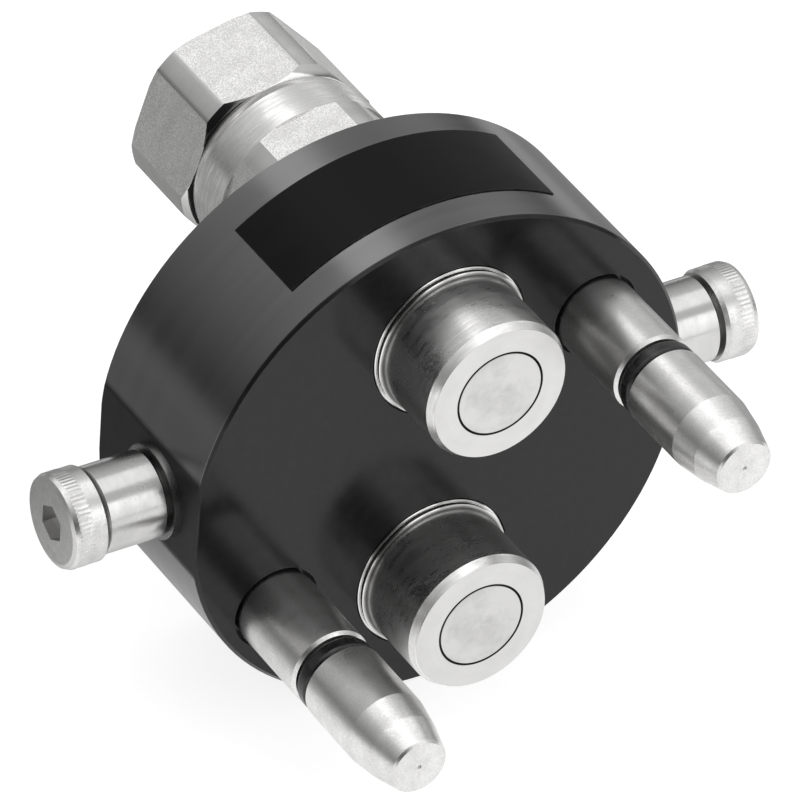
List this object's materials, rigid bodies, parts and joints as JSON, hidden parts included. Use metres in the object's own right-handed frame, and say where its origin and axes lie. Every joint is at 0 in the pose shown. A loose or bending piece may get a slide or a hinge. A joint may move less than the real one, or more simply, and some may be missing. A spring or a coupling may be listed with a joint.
{
  "type": "multi-coupler plate",
  "caption": "Round black plate with two flat-face hydraulic couplers, two guide pins and two side rollers, the hose-side half of a multi-coupler.",
  "frame": {"origin": "centre of the plate's mating face, on the plate's axis", "axes": "+Y is the coupling axis, from the mating face to the hose side; X runs through the two rollers; +Z runs from the lower to the upper coupler, towards the label"},
  "size_m": [0.1124, 0.1015, 0.0801],
  "materials": {
    "anodised_aluminium": "black anodised, satin",
    "label_film": "gloss film",
    "plated_steel": "zinc-nickel plated, turned",
    "polished_steel": "ground flat",
    "spring_steel": "drawn wire",
    "dark_steel": "black oxide",
    "black_rubber": "nitrile rubber",
    "backup_plastic": "fluoropolymer"
  },
  "bodies": {
    "plate_body": {"plate": "anodised_aluminium", "label": "label_film", "left_guide_pin": "plated_steel", "right_guide_pin": "plated_steel", "guide_pin_rings": "black_rubber", "pin_screws": "dark_steel", "pin_lock_washers": "dark_steel", "roller_screws": "plated_steel", "roller_washers": "plated_steel"},
    "upper_coupler": {"upper_coupler_body": "plated_steel", "upper_port_end": "plated_steel", "upper_valve_spring": "spring_steel", "upper_spring_guide": "plated_steel", "upper_port_o_ring": "black_rubber", "upper_backup_ring": "backup_plastic", "upper_body_ring": "black_rubber", "upper_snap_ring": "plated_steel"},
    "lower_coupler": {"lower_coupler_body": "plated_steel", "lower_port_end": "plated_steel", "lower_valve_spring": "spring_steel", "lower_spring_guide": "plated_steel", "lower_port_o_ring": "black_rubber", "lower_backup_ring": "backup_plastic", "lower_body_ring": "black_rubber", "lower_snap_ring": "plated_steel"},
    "upper_valve": {"upper_poppet": "polished_steel", "upper_poppet_seal": "black_rubber"},
    "lower_valve": {"lower_poppet": "polished_steel", "lower_poppet_seal": "black_rubber"},
    "left_roller_body": {"left_roller": "plated_steel"},
    "right_roller_body": {"right_roller": "plated_steel"}
  },
  "joints": [
    {"name": "upper_coupler_swivel", "type": "hinge", "parent": "plate_body", "child": "upper_coupler", "pos_m": [0, 0, 0.0205], "axis": [0, 1, 0], "continuous": true},
    {"name": "upper_valve_slide", "type": "slide", "parent": "upper_coupler", "child": "upper_valve", "axis": [0, 1, 0], "range_m": [0, 0.007], "stiffness_N_per_m": 2500, "springref_m": -0.006, "deforming": ["upper_valve_spring"]},
    {"name": "lower_coupler_swivel", "type": "hinge", "parent": "plate_body", "child": "lower_coupler", "pos_m": [0, 0, -0.0205], "axis": [0, 1, 0], "continuous": true},
    {"name": "lower_valve_slide", "type": "slide", "parent": "lower_coupler", "child": "lower_valve", "axis": [0, 1, 0], "range_m": [0, 0.007], "stiffness_N_per_m": 2500, "springref_m": -0.006, "deforming": ["lower_valve_spring"]},
    {"name": "left_roller_spin", "type": "hinge", "parent": "plate_body", "child": "left_roller_body", "pos_m": [-0.04575, 0.0112, 0], "axis": [1, 0, 0], "continuous": true},
    {"name": "right_roller_spin", "type": "hinge", "parent": "plate_body", "child": "right_roller_body", "pos_m": [0.0452, 0.0112, 0], "axis": [1, 0, 0], "continuous": true}
  ]
}
